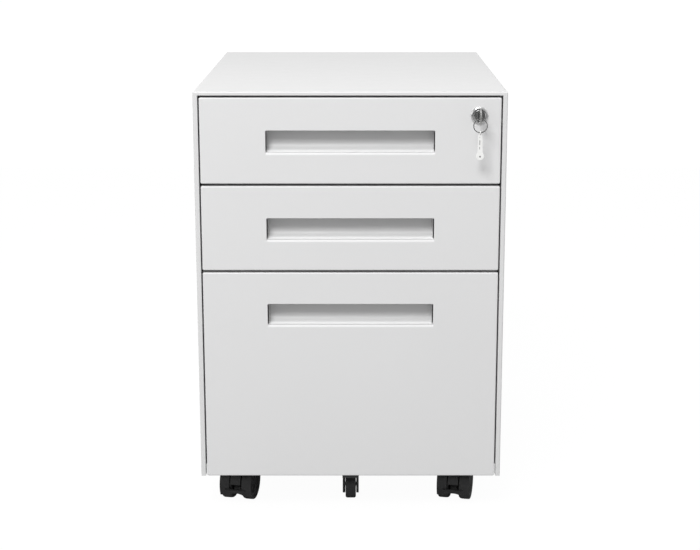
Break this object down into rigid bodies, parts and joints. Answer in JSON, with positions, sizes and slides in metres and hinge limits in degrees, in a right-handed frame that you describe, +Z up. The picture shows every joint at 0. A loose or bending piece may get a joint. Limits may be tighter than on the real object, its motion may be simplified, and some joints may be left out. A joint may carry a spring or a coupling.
{
  "type": "mobile pedestal filing cabinet",
  "caption": "Compact steel mobile pedestal on casters with box drawers above a deep file drawer, recessed full-grip pulls and a key lock.",
  "frame": {"origin": "floor level, at the centre of the bounding box in plan with the drawers closed (the key counts)", "axes": "+Z up, -Y out of the drawer fronts, +X towards the right side seen from the front"},
  "size_m": [0.4, 0.527, 0.57],
  "materials": {
    "body_powder": "light grey fine-texture powder coat",
    "front_powder": "light grey fine-texture powder coat",
    "drawer_powder": "light grey powder coat",
    "zinc_steel": "bright zinc plate",
    "chrome": "polished nickel plate",
    "pale_tag": "pale moulded plastic",
    "wheel_nylon": "black nylon tread",
    "caster_nylon": "black moulded nylon"
  },
  "bodies": {
    "cabinet": {"back_panel": "body_powder", "base_pan": "body_powder", "file_outer_slide_left": "zinc_steel", "file_outer_slide_right": "zinc_steel", "front_left_caster_plate": "zinc_steel", "front_right_caster_plate": "zinc_steel", "left_front_upright": "zinc_steel", "left_rear_upright": "zinc_steel", "middle_outer_slide_left": "zinc_steel", "middle_outer_slide_right": "zinc_steel", "outer_shell": "body_powder", "rear_left_caster_plate": "zinc_steel", "rear_right_caster_plate": "zinc_steel", "right_front_upright": "zinc_steel", "right_rear_upright": "zinc_steel", "top_outer_slide_left": "zinc_steel", "top_outer_slide_right": "zinc_steel", "top_rail": "zinc_steel"},
    "top_drawer": {"top_front": "front_powder", "top_front_liner": "drawer_powder", "top_pull_cup": "front_powder", "top_tray": "drawer_powder", "top_inner_slide_left": "zinc_steel", "top_inner_slide_right": "zinc_steel", "lock_housing": "chrome"},
    "middle_drawer": {"middle_front": "front_powder", "middle_front_liner": "drawer_powder", "middle_pull_cup": "front_powder", "middle_tray": "drawer_powder", "middle_inner_slide_left": "zinc_steel", "middle_inner_slide_right": "zinc_steel"},
    "file_drawer": {"file_front": "front_powder", "file_front_liner": "drawer_powder", "file_pull_cup": "front_powder", "file_tray": "drawer_powder", "file_inner_slide_left": "zinc_steel", "file_inner_slide_right": "zinc_steel", "hanging_file_rail_left": "zinc_steel", "hanging_file_rail_right": "zinc_steel", "anti_tip_bracket": "caster_nylon"},
    "file_mid_slides": {"file_mid_slide_left": "zinc_steel", "file_mid_slide_right": "zinc_steel"},
    "lock_turn": {"lock_plug": "chrome", "lock_cam": "zinc_steel", "key": "chrome"},
    "key_ring": {"key_ring": "chrome"},
    "key_tag": {"key_tag": "pale_tag"},
    "anti_tip_wheel": {"anti_tip_wheel": "wheel_nylon"},
    "front_left_caster_swivel": {"front_left_caster_hood": "caster_nylon"},
    "front_left_caster_wheels": {"front_left_caster_wheels": "wheel_nylon"},
    "front_right_caster_swivel": {"front_right_caster_hood": "caster_nylon"},
    "front_right_caster_wheels": {"front_right_caster_wheels": "wheel_nylon"},
    "rear_left_caster_swivel": {"rear_left_caster_hood": "caster_nylon"},
    "rear_left_caster_wheels": {"rear_left_caster_wheels": "wheel_nylon"},
    "rear_right_caster_swivel": {"rear_right_caster_hood": "caster_nylon"},
    "rear_right_caster_wheels": {"rear_right_caster_wheels": "wheel_nylon"}
  },
  "joints": [
    {"name": "top_drawer_slide", "type": "slide", "parent": "cabinet", "child": "top_drawer", "axis": [0, -1, 0], "range_m": [0, 0.33]},
    {"name": "middle_drawer_slide", "type": "slide", "parent": "cabinet", "child": "middle_drawer", "axis": [0, -1, 0], "range_m": [0, 0.33]},
    {"name": "file_drawer_slide", "type": "slide", "parent": "cabinet", "child": "file_drawer", "axis": [0, -1, 0], "range_m": [0, 0.42]},
    {"name": "file_mid_slide", "type": "slide", "parent": "cabinet", "child": "file_mid_slides", "axis": [0, -1, 0], "range_m": [0, 0.21]},
    {"name": "key_turn", "type": "hinge", "parent": "top_drawer", "child": "lock_turn", "pos_m": [0.164, -0.2365, 0.54], "axis": [0, 1, 0], "range_deg": [0, 90]},
    {"name": "key_ring_swing", "type": "hinge", "parent": "lock_turn", "child": "key_ring", "pos_m": [0.164, -0.2565, 0.53795], "axis": [-1, 0, 0], "range_deg": [-10, 60]},
    {"name": "key_tag_swing", "type": "hinge", "parent": "key_ring", "child": "key_tag", "pos_m": [0.164, -0.2565, 0.52085], "axis": [-1, 0, 0], "range_deg": [-8, 60]},
    {"name": "anti_tip_wheel_spin", "type": "hinge", "parent": "file_drawer", "child": "anti_tip_wheel", "pos_m": [0, -0.1845, 0.0205], "axis": [1, 0, 0], "continuous": true},
    {"name": "front_left_swivel", "type": "hinge", "parent": "cabinet", "child": "front_left_caster_swivel", "pos_m": [-0.1483, -0.1639, 0.055], "axis": [0, 0, 1], "continuous": true},
    {"name": "front_left_wheel_spin", "type": "hinge", "parent": "front_left_caster_swivel", "child": "front_left_caster_wheels", "pos_m": [-0.15189, -0.18154, 0.025], "axis": [0.9799, -0.1994, 0], "continuous": true},
    {"name": "front_right_swivel", "type": "hinge", "parent": "cabinet", "child": "front_right_caster_swivel", "pos_m": [0.1483, -0.1639, 0.055], "axis": [0, 0, 1], "continuous": true},
    {"name": "front_right_wheel_spin", "type": "hinge", "parent": "front_right_caster_swivel", "child": "front_right_caster_wheels", "pos_m": [0.14471, -0.18154, 0.025], "axis": [0.9799, -0.1994, 0], "continuous": true},
    {"name": "rear_left_swivel", "type": "hinge", "parent": "cabinet", "child": "rear_left_caster_swivel", "pos_m": [-0.1483, 0.1935, 0.055], "axis": [0, 0, 1], "continuous": true},
    {"name": "rear_left_wheel_spin", "type": "hinge", "parent": "rear_left_caster_swivel", "child": "rear_left_caster_wheels", "pos_m": [-0.13876, 0.20877, 0.025], "axis": [-0.848, 0.5299, 0], "continuous": true},
    {"name": "rear_right_swivel", "type": "hinge", "parent": "cabinet", "child": "rear_right_caster_swivel", "pos_m": [0.1483, 0.1935, 0.055], "axis": [0, 0, 1], "continuous": true},
    {"name": "rear_right_wheel_spin", "type": "hinge", "parent": "rear_right_caster_swivel", "child": "rear_right_caster_wheels", "pos_m": [0.15356, 0.21071, 0.025], "axis": [-0.9563, 0.2924, 0], "continuous": true}
  ],
  "couplings": [
    {"joint": "file_mid_slide", "follows": "file_drawer_slide", "ratio": 0.5}
  ]
}
